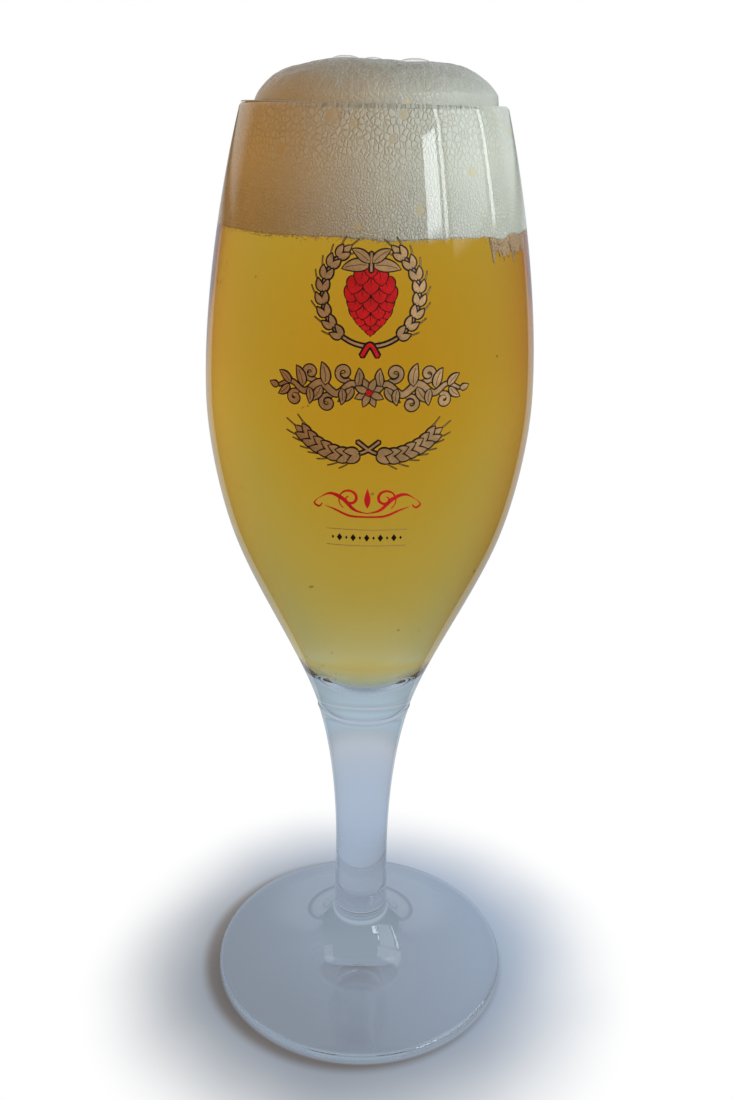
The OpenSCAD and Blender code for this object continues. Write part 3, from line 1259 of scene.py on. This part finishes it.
def vine(enamel, z):
    """A waving stem on each side of a small flower, with scrolls and leaves."""
    stem = smooth_line(raised(VINE_STEM, z), 60)
    enamel.both("gold", stem, swell(0.42, 0.60, 0.22, len(stem)), 2, VINE_OUTLINE)
    for x, lift, side, size in SCROLLS:
        centre = (x + 1.0, z + lift + side * (size + 0.35))
        curl = spiral(centre, SCROLL_START * side, side * 1.25, size, 0.35, 44)
        enamel.both("gold", curl, swell(0.30, 0.46, 0.30, len(curl)), 0, LEAF_OUTLINE)
    level = 0
    for x, lift, lean, size in VINE_LEAVES:
        bend = -math.copysign(LEAF_BEND, lean)
        line = leaf_line((x, z + lift), math.radians(lean), size, bend)
        enamel.both("gold", line, leaf_half(size * 0.44, 0.8), level + 4, VINE_OUTLINE)
        enamel.both("dark", line[1:-2], 0.06, level + 6, 0)
        level += 2
    tip = leaf_line(stem[-1], 0.1, 1.9, 0.4)
    enamel.both("gold", tip, leaf_half(1.1, 0.8), level + 4, LEAF_OUTLINE)
    for k in range(PETALS):
        turn = (k + 0.5) * TURN / PETALS
        start = (0.35 * math.cos(turn), z + 0.35 * math.sin(turn))
        petal = leaf_line(start, turn, 2.5)
        enamel.stroke("gold", petal, leaf_half(1.25, 0.8), level + 6 + 2 * (k % 2), LEAF_OUTLINE)
    dot = leaf_line((-0.65, z), 0, 1.3)
    enamel.stroke("red", dot, leaf_half(1.2, 0.5), level + 12, 0.2)


# Pen strokes of the flourish: places (across and height, mm), steps, half widths and level
PEN_STROKES = [
    ([(0, -2.3), (2.6, -1.5), (5.0, 0.9), (7.6, 1.9), (10.2, 0.5)], 44, (0.10, 0.42, 0.05), 0),
    ([(10.2, 0.5), (10.9, -0.6), (9.9, -1.2), (9.2, -0.5)], 30, (0.06, 0.22, 0.14), 1),
    ([(0, -3.1), (3.5, -2.9), (6.6, -1.6), (8.6, -0.9)], 30, (0.20, 0.24, 0.04), 2),
]


def flourish(enamel, z):
    """A red pen flourish, the same to the left and right."""
    for places, steps, halves, level in PEN_STROKES:
        line = smooth_line(raised(places, z), steps)
        enamel.both("red", line, swell(*halves, len(line)), level, 0)
    volute = spiral((3.6, z + 1.0), math.radians(-60), 1.35, 2.5, 0.5, 60)
    enamel.both("red", volute, swell(0.09, 0.30, 0.12, len(volute)), 1, 0)
    drop = leaf_line((0, z - 1.1), math.pi / 2, 4.4)
    enamel.stroke("red", drop, leaf_half(1.3, 1.0), 3, 0)


# The lowest border: half its length, how far its lines lie from its middle, and its diamonds (mm)
BORDER_HALF = 8.3
BORDER_LIFT = 1.9
BORDER_LINE = 0.075
DIAMOND_STEP = 1.4
LARGE_DIAMOND, SMALL_DIAMOND = 1.7, 0.8


def border(enamel, z):
    """Two thin lines with a row of small diamonds between them."""
    for lift in (-BORDER_LIFT, BORDER_LIFT):
        across = np.linspace(-BORDER_HALF, BORDER_HALF, 34)
        enamel.stroke("gold", np.column_stack((across, np.full(34, z + lift))), BORDER_LINE, 0, 0)
    for k in range(-5, 6):
        size = SMALL_DIAMOND if k % 2 else LARGE_DIAMOND
        diamond = [(k * DIAMOND_STEP, z + height * size) for height in (-0.5, 0, 0.5)]
        enamel.stroke("dark", diamond, (0.02, size * 0.34, 0.02), 0, 0)


def enamel_skin(name):
    """Group: a fine grain in the colour of fired enamel, and the height of its skin."""
    inputs = {"Place": PLACE, "Low": COLOUR, "High": COLOUR}
    nodes, given, result = new_group(name, inputs, {"Color": COLOUR, "Height": VALUE})
    grain, _ = clouds(nodes, given["Place"], 2600.0, 2.0)
    cloud, _ = clouds(nodes, given["Place"], 260.0, 2.0)
    share = nodes.ramp(nodes.times(grain, cloud), 0.12, 0.38)
    nodes.put(result["Color"], nodes.mix(share, given["Low"], given["High"]))
    nodes.put(result["Height"], grain)


# How much darker the low places in the enamel are
ENAMEL_DARKER = 0.72


def enamel_material(name, tone, metallic, roughness):
    """Fired enamel with a fine grain and a slightly uneven skin."""
    material, nodes = new_material(name)
    low = [ENAMEL_DARKER * c for c in tone]
    skin = place_group(nodes, enamel_skin, {"Place": nodes.place(), "Low": low, "High": tone})
    principled = nodes.principled(
        base_color=skin["Color"],
        metallic=metallic,
        roughness=roughness,
        coat_weight=0.3,
        coat_roughness=0.15,
        normal=nodes.bump(skin["Height"], 0.25, 0.03 * MM),
    )
    nodes.show(principled)
    return material


# Metallic and roughness of each enamel
ENAMELS = {"gold": (0.5, 0.42), "red": (0.0, 0.30), "dark": (0.0, 0.35)}
# The wreath's radius and turn, and its knot and the lying ear's stem: across and height (mm)
WREATH_R = 9.3
WREATH_TURN = (-100, 52)
KNOT = [(-1.6, -11.2), (0, -9.0), (1.6, -11.2)]
LYING_STEM = [(-2.2, 1.6), (1.0, -0.6), (5.0, -1.2), (9.5, 0.2), (12.2, 2.0)]
HOP_DROP = 0.6


class MakePrint(bpy.types.Operator):
    """Lays the enamel print on the front of the bowl"""

    bl_idname = "beerglass.make_print"
    bl_label = "Print"

    def execute(self, context):
        scene = context.scene
        look = scene.print_look
        enamel = Enamel(Outlines(scene.glass_shape))
        z = look.wreath_z / MM
        ring = arc(np.array((0.0, z)), WREATH_R, *np.radians(WREATH_TURN), 47)
        barley_ear(enamel, ring, 8, 2.3, 1.15)
        enamel.stroke("red", smooth_line(raised(KNOT, z), 14), 0.34, 6)
        hop_cone(enamel, z - HOP_DROP, 2)
        vine(enamel, look.vine_z / MM)
        lying = smooth_line(raised(LYING_STEM, look.ears_z / MM), 44)
        barley_ear(enamel, lying, 7, 2.9, 1.5)
        flourish(enamel, look.flourish_z / MM)
        border(enamel, look.border_z / MM)
        for tone, (metallic, roughness) in ENAMELS.items():
            points = np.vstack(enamel.points[tone])
            ob = new_object(f"print_{tone}", points, enamel.faces[tone], smooth=False)
            material = enamel_material(f"enamel_{tone}", getattr(look, tone), metallic, roughness)
            finish_piece(ob, material)
        return {"FINISHED"}


# ---------------------------------------------------------------- bubbles


class BubbleLook(bpy.types.PropertyGroup):
    """Gas bubbles that cling to the inside of the glass."""

    amount: count("Amount", "How many bubbles cling to the wall", 64)
    smallest: length("Smallest", "Radius of the smallest bubbles", 0.12)
    largest: length("Largest", "Radius of the largest bubbles", 0.32)
    seed: count("Seed", "Number that picks the places", 7)


def bubble_material():
    """Gas in beer: a thin-looking bead that bends light the other way."""
    material, nodes = new_material("gas_bubble")
    _, tint = clouds(nodes, nodes.place(), 900.0, 2.0, first=(1.0, 0.97, 0.86), second=(0.95, 0.88, 0.66))
    nodes.show(nodes.principled(base_color=tint, roughness=0.02, ior=0.75, transmission_weight=1.0))
    return material


# Heights between which bubbles cling anywhere (mm)
CLING_FROM, CLING_TO = 94, 190
# Where every second one gathers: turn from the front (degrees) and lowest height (mm)
CLUSTERS = [(-55, 93.0), (-35, 91.5), (-20, 168.0), (-24, 164.0), (-62, 185.0)]
# Spread of a cluster, in degrees and millimetres
CLUSTER_TURN, CLUSTER_RISE = 7, 3.0
# A higher power makes more of them small
SMALL_SHARE = 2.5
CLING_GAP = 0.05 * MM


class MakeBubbles(bpy.types.Operator):
    """Scatters small gas bubbles on the inside of the bowl"""

    bl_idname = "beerglass.make_bubbles"
    bl_label = "Bubbles"

    def execute(self, context):
        scene = context.scene
        look = scene.bubble_look
        outlines = Outlines(scene.glass_shape)
        rng = np.random.default_rng(look.seed)
        places = []
        for k in range(look.amount):
            turn = math.radians(rng.uniform(-180, 180))
            z = rng.uniform(CLING_FROM, CLING_TO) * MM
            if k % 2 == 0:
                at, low = CLUSTERS[rng.integers(len(CLUSTERS))]
                turn = math.radians(at + rng.normal(0, CLUSTER_TURN))
                z = (low + abs(rng.normal(0, CLUSTER_RISE))) * MM
            radius = look.smallest + (look.largest - look.smallest) * rng.random() ** SMALL_SHARE
            r = outlines.inside_r(z) - radius * 0.96 - CLING_GAP
            turn += FRONT
            places.append((r * math.cos(turn), r * math.sin(turn), z, radius, radius))
        ob = merge_balls("gas_bubbles", places, 2)
        finish_piece(ob, bubble_material())
        return {"FINISHED"}


# ---------------------------------------------------------------- stage


class StageLook(bpy.types.PropertyGroup):
    """Colours of the studio round the glass."""

    backdrop: colour("Backdrop", "What the camera sees behind the glass", 1.0, 1.0, 1.0)
    warm_side: colour("Warm side", "Soft light from the left", 0.22, 0.115, 0.022)
    cool_side: colour("Cool side", "Soft light from the right", 0.33, 0.36, 0.34)
    contact: colour("Contact", "Table in the foot's shadow", 0.15, 0.15, 0.16)
    # Pool colours: the table's blue-grey, darker on the left and brighter and bluer on the right as
    # painted light from the right
    pool_left: colour("Pool left", "Table to the left of the foot", 0.255, 0.305, 0.385)
    pool_right: colour("Pool right", "Table to the right of the foot", 0.35, 0.44, 0.59)
    pool_lit: amount("Pool lit", "How much lamps light the table", 1.1)
    # The pool's glow is painted light on the table
    pool_glow: amount("Pool glow", "Even light on the table", 0.56)


TABLE_GAP = 0.12 * MM
TABLE_HALF = 3.0
CORNERS = [(-1, -1), (1, -1), (1, 1), (-1, 1)]
CAMERA_DISTANCE = 244.3 * MM
CAMERA_HEIGHT = 218.4 * MM
CAMERA_TILT = 21.67
CAMERA_ROLL = 0.99
CAMERA_LENS = 36.02
# Lamps: place, diameter (m), power (W) and colour, and the height that they aim at
LAMPS = {
    "key": ((0.98, -0.50, 0.38), 0.8, 8.2, (0.97, 1.0, 0.98)),
    "warm_fill": ((-0.85, -0.35, 0.25), 0.6, 2.9, (1.0, 0.44, 0.08)),
    "back_fill": ((-0.30, 0.95, 0.40), 0.8, 2.6, (1.0, 0.97, 0.92)),
}
AIM_Z = 0.12

# Softboxes: turn from the front, half width, lowest and highest (degrees), softness, brightness
PANELS = [
    (46.5, 5.5, 13.5, 25.0, 0.5, 8.5),
    (56.0, 1.2, 12.5, 36.0, 0.4, 7.5),
    (78.0, 16.0, 10.0, 44.0, 3.0, 1.8),
    (80.0, 24.0, 47.0, 60.0, 4.0, 1.6),
    (101.0, 1.5, 8.0, 44.0, 0.5, 5.0),
    (-86.0, 7.0, 44.0, 62.0, 3.0, 1.0),
]
# Softboxes straight behind, which lie on both sides of the seam at half a turn
BACK_PANELS = [(48.0, 4.0, 14.0, 16.0, 0.62), (36.0, -70.0, -2.0, 4.0, 0.50)]
# Brightness of what no softbox lights, and of the sky, which rises between two heights
DIM = 0.08
SKY = 0.50
SKY_FROM, SKY_TO = 0.10, 0.70
MIRRORED_TINT = (0.88, 0.96, 1.0)

# What the glass bends, from straight down (0) to straight up (1)
ROOM = [
    (0.15, (0.35, 0.44, 0.58)),
    (0.27, (0.43, 0.51, 0.63)),
    (0.36, (0.51, 0.55, 0.62)),
    (0.41, (0.54, 0.63, 0.76)),
    (0.50, (0.48, 0.56, 0.64)),
    (0.64, (0.265, 0.325, 0.395)),
]
# Light that has passed more surfaces than this went through the beer
BEER_DEPTH = 4.5
# What the room adds to light that the beer's lowest part bends, and how flat that light runs
LOW_BEER = (0.93, 1.0, 1.55)
LOW_BEER_RISE = (-0.235, -0.15)
# What it adds to light bent far to the left or the right, and how far that is
FAR_LEFT = (1.02, 0.78, 0.36)
FAR_RIGHT = (1.28, 1.06, 0.62)
FAR_FROM, FAR_TO = 0.30, 0.72
# How much dimmer the room is through the clear glass under the beer, and the slopes between
# which that light runs
CLEAR_DIM = (0.78, 0.84, 0.83)
CLEAR_LOWEST = (-0.34, -0.22)
CLEAR_HIGHEST = (0.15, 0.0)
# How much of the soft light on matt surfaces comes from straight above
OVERHEAD = 0.55


def panel_mask(nodes, azimuth, elevation, centre, half, low, high, soft):
    """Mask of an upright softbox: turn from the front and limits in degrees."""
    off = nodes.math("ABSOLUTE", nodes.minus(azimuth, centre))
    across = nodes.ramp(off, half + soft, half)
    up = nodes.ramp(elevation, low - 1.5, low + 1.0)
    below = nodes.ramp(elevation, high + soft, high)
    return nodes.times(across, nodes.times(up, below))


def mirrored_room(nodes, x, y, z):
    """What smooth surfaces mirror: softboxes and a pale sky in a dim room."""
    azimuth = nodes.math("ARCTAN2", x, nodes.times(y, -1.0))
    azimuth = nodes.times(azimuth, 180 / math.pi)
    elevation = nodes.times(nodes.math("ARCSINE", z), 180 / math.pi)
    bright = nodes.plus(DIM, nodes.ramp(z, SKY_FROM, SKY_TO, 0.0, SKY))
    behind = [(side, *panel) for panel in BACK_PANELS for side in (180.0, -180.0)]
    for *panel, strength in PANELS + behind:
        mask = panel_mask(nodes, azimuth, elevation, *panel)
        bright = nodes.plus(nodes.times(mask, strength), bright)
    return nodes.scaled(MIRRORED_TINT, bright)


def bent_room(nodes, path, x, z):
    """What shows through glass and beer: bands of the room, tinted where the light went."""
    upward = nodes.times(nodes.plus(z, 1.0), 0.5)
    bands = nodes.add("ShaderNodeValToRGB", {"Fac": upward})
    bands.color_ramp.interpolation = "EASE"
    stops = bands.color_ramp.elements
    while len(stops) < len(ROOM):
        stops.new(1.0)
    for stop, (position, shade) in zip(stops, ROOM):
        stop.position = position
        stop.color = (*shade, 1.0)
    in_beer = nodes.math("GREATER_THAN", path["Transmission Depth"], BEER_DEPTH)
    beer_tint = nodes.mix(nodes.ramp(z, *LOW_BEER_RISE), WHITE, LOW_BEER)
    beer_tint = nodes.mix(nodes.ramp(x, -FAR_FROM, -FAR_TO), beer_tint, FAR_LEFT)
    beer_tint = nodes.mix(nodes.ramp(x, FAR_FROM, FAR_TO), beer_tint, FAR_RIGHT)
    under_beer = nodes.times(nodes.ramp(z, *CLEAR_LOWEST), nodes.ramp(z, *CLEAR_HIGHEST))
    clear_tint = nodes.mix(under_beer, WHITE, CLEAR_DIM)
    tint = nodes.mix(in_beer, clear_tint, beer_tint)
    tinted = nodes.add("ShaderNodeVectorMath", {0: bands.outputs[0], 1: tint}, operation="MULTIPLY")
    return tinted.outputs[0]


def build_world(scene, look):
    """White for the camera, and a studio of softboxes for what mirrors or bends light."""
    world = bpy.data.worlds.new("studio")
    scene.world = world
    world.use_nodes = True
    world.node_tree.nodes.clear()
    nodes = Nodes(world.node_tree)
    x, y, z = nodes.axes(nodes.add("ShaderNodeTexCoord").outputs["Generated"])
    path = nodes.add("ShaderNodeLightPath").outputs
    ambient = nodes.mix(nodes.ramp(x, -0.75, 0.7), look.warm_side, look.cool_side)
    ambient = nodes.scaled(ambient, nodes.ramp(z, 0.1, 0.9, 1.0, OVERHEAD))
    mirrored = mirrored_room(nodes, x, y, z)
    seen = nodes.mix(path["Is Transmission Ray"], mirrored, bent_room(nodes, path, x, z))
    seen = nodes.mix(nodes.math("GREATER_THAN", path["Diffuse Depth"], 0.5), seen, ambient)
    seen = nodes.mix(path["Is Camera Ray"], seen, look.backdrop)
    background = nodes.add("ShaderNodeBackground", {"Color": seen})
    nodes.add("ShaderNodeOutputWorld", {"Surface": background.outputs[0]})
    world.cycles.sampling_method = "NONE"


# The tinted pool of table round the foot, blue-grey and glowing with painted light: how far forward its
# middle lies, and its edge
POOL_FORWARD = 3.5 * MM
POOL_INNER, POOL_OUTER = 36 * MM, 76 * MM
POOL_WANDER = 16 * MM
# Where its darker left colour turns into its brighter right one, which is painted light from the right,
# counted across and backward together
POOL_TURNS = (-70 * MM, 80 * MM)
# The foot's shadow: a crescent as wide as this, whose middle is moved by this much
SHADOW_WIDTH = 3.6 * MM
SHADOW_SHIFT = (2.2 * MM, 0.2 * MM, 0.0)
# Where the shadow starts and is full, from the foot's edge
SHADOW_FROM, SHADOW_FULL = -0.6 * MM, 0.4 * MM


def table_material(look):
    """Pale table: blue-grey near the foot, brighter to the right and glowing there with painted light,
    with a painted shadow crescent beside the foot; white further out.
    """
    material, nodes = new_material("pale_table")
    place = nodes.place()
    grain, _ = clouds(nodes, place, 14.0, 2.0)
    reach = nodes.reach(nodes.moved(place, location=(0.0, POOL_FORWARD, 0.0)))
    spread = nodes.plus(reach, nodes.times(nodes.minus(grain, 0.5), POOL_WANDER))
    far = nodes.ramp(spread, POOL_INNER, POOL_OUTER)
    x, y, _ = nodes.axes(place)
    to_right = nodes.ramp(nodes.plus(x, y), *POOL_TURNS)
    # Darker on the left, brighter on the right: painted light
    pool = nodes.mix(to_right, look.pool_left, look.pool_right)
    from_aside = nodes.reach(nodes.moved(place, location=SHADOW_SHIFT))
    crescent = nodes.ramp(from_aside, FOOT_R + SHADOW_WIDTH, FOOT_R)
    outside = nodes.ramp(nodes.reach(place), FOOT_R + SHADOW_FROM, FOOT_R + SHADOW_FULL)
    # Painted shadow of the foot: a dark crescent beside it
    pool = nodes.mix(nodes.times(crescent, outside), pool, look.contact)
    lit = nodes.scaled(pool, look.pool_lit)
    table = nodes.add("ShaderNodeBsdfDiffuse", {"Color": lit}).outputs[0]
    # The pool glows: painted light on the table
    glow = nodes.add("ShaderNodeEmission", {"Color": pool, "Strength": look.pool_glow}).outputs[0]
    near = nodes.add("ShaderNodeAddShader", {0: table, 1: glow}).outputs[0]
    white = nodes.add("ShaderNodeEmission", {"Color": look.backdrop}).outputs[0]
    clear = nodes.add("ShaderNodeBsdfTransparent").outputs[0]
    is_camera = nodes.add("ShaderNodeLightPath").outputs["Is Camera Ray"]
    away = nodes.mix_shaders(is_camera, clear, white)
    nodes.show(nodes.mix_shaders(far, near, away))
    return material


class MakeStage(bpy.types.Operator):
    """Sets up the pale table, the soft studio light and the camera"""

    bl_idname = "beerglass.make_stage"
    bl_label = "Stage"

    def execute(self, context):
        scene = context.scene
        look = scene.stage_look
        corners = [(x * TABLE_HALF, y * TABLE_HALF, -TABLE_GAP) for x, y in CORNERS]
        table = new_object("table_top", corners, [(0, 1, 2, 3)], smooth=False)
        table.data.materials.append(table_material(look))
        build_world(scene, look)
        for name, lamp in LAMPS.items():
            self.add_light(scene, name, *lamp)
        self.add_camera(scene)
        scene.view_settings.view_transform = "Standard"
        scene.cycles.max_bounces = 32
        for kind in ("transmission_bounces", "glossy_bounces", "transparent_max_bounces"):
            setattr(scene.cycles, kind, 24)
        return {"FINISHED"}

    def add_light(self, scene, name, place, size, power, tint):
        """A round soft lamp that aims at the glass and is seen in no mirror."""
        data = bpy.data.lights.new(name, "AREA")
        data.shape = "DISK"
        data.size = size
        data.energy = power
        data.color = tint
        lamp = bpy.data.objects.new(name, data)
        lamp.location = place
        aim = Vector((0, 0, AIM_Z)) - Vector(place)
        lamp.rotation_euler = aim.to_track_quat("-Z", "Y").to_euler()
        lamp.visible_glossy = False
        lamp.visible_transmission = False
        scene.collection.objects.link(lamp)

    def add_camera(self, scene):
        """The camera in front of the glass, which looks a little down."""
        data = bpy.data.cameras.new("camera")
        data.lens = CAMERA_LENS
        data.sensor_width = 36.0
        data.clip_start = 0.01
        camera = bpy.data.objects.new("camera", data)
        place = Matrix.Translation((0, -CAMERA_DISTANCE, CAMERA_HEIGHT))
        tilt = Matrix.Rotation(math.radians(90 - CAMERA_TILT), 4, "X")
        roll = Matrix.Rotation(math.radians(CAMERA_ROLL), 4, "Z")
        camera.matrix_world = place @ tilt @ roll
        scene.collection.objects.link(camera)
        scene.camera = camera


# ---------------------------------------------------------------- add-on


class BeerGlassPanel(bpy.types.Panel):
    """Sidebar panel with the pieces of the glass of beer"""

    bl_idname = "VIEW3D_PT_beer_glass"
    bl_label = "Tulip Glass of Pilsner"
    bl_space_type = "VIEW_3D"
    bl_region_type = "UI"
    bl_category = "Beer Glass"

    def draw(self, context):
        layout = self.layout
        for operator in OPERATORS:
            layout.operator(operator.bl_idname)
        for group in GROUPS:
            box = layout.box()
            box.label(text=group.__doc__)
            values = getattr(context.scene, GROUPS[group])
            for name in group.__annotations__:
                box.prop(values, name)


OPERATORS = [MakeStage, MakeGlass, MakeBeer, MakeFoam, MakeFroth, MakeBubbles, MakePrint]
GROUPS = {
    GlassShape: "glass_shape",
    GlassLook: "glass_look",
    BeerLook: "beer_look",
    FoamLook: "foam_look",
    FrothLook: "froth_look",
    BubbleLook: "bubble_look",
    PrintLook: "print_look",
    StageLook: "stage_look",
}


def register():
    for group, name in GROUPS.items():
        bpy.utils.register_class(group)
        setattr(bpy.types.Scene, name, bpy.props.PointerProperty(type=group))
    for operator in OPERATORS:
        bpy.utils.register_class(operator)
    bpy.utils.register_class(BeerGlassPanel)


def unregister():
    bpy.utils.unregister_class(BeerGlassPanel)
    for operator in reversed(OPERATORS):
        bpy.utils.unregister_class(operator)
    for group, name in GROUPS.items():
        delattr(bpy.types.Scene, name)
        bpy.utils.unregister_class(group)


def run(operator):
    """Calls an operator by its name and stops if it didn't finish."""
    area, name = operator.bl_idname.split(".")
    if getattr(getattr(bpy.ops, area), name)() != {"FINISHED"}:
        raise RuntimeError(f"{operator.bl_label} did not finish")


def main():
    register()
    for operator in OPERATORS:
        run(operator)


if __name__ == "__main__":
    main()
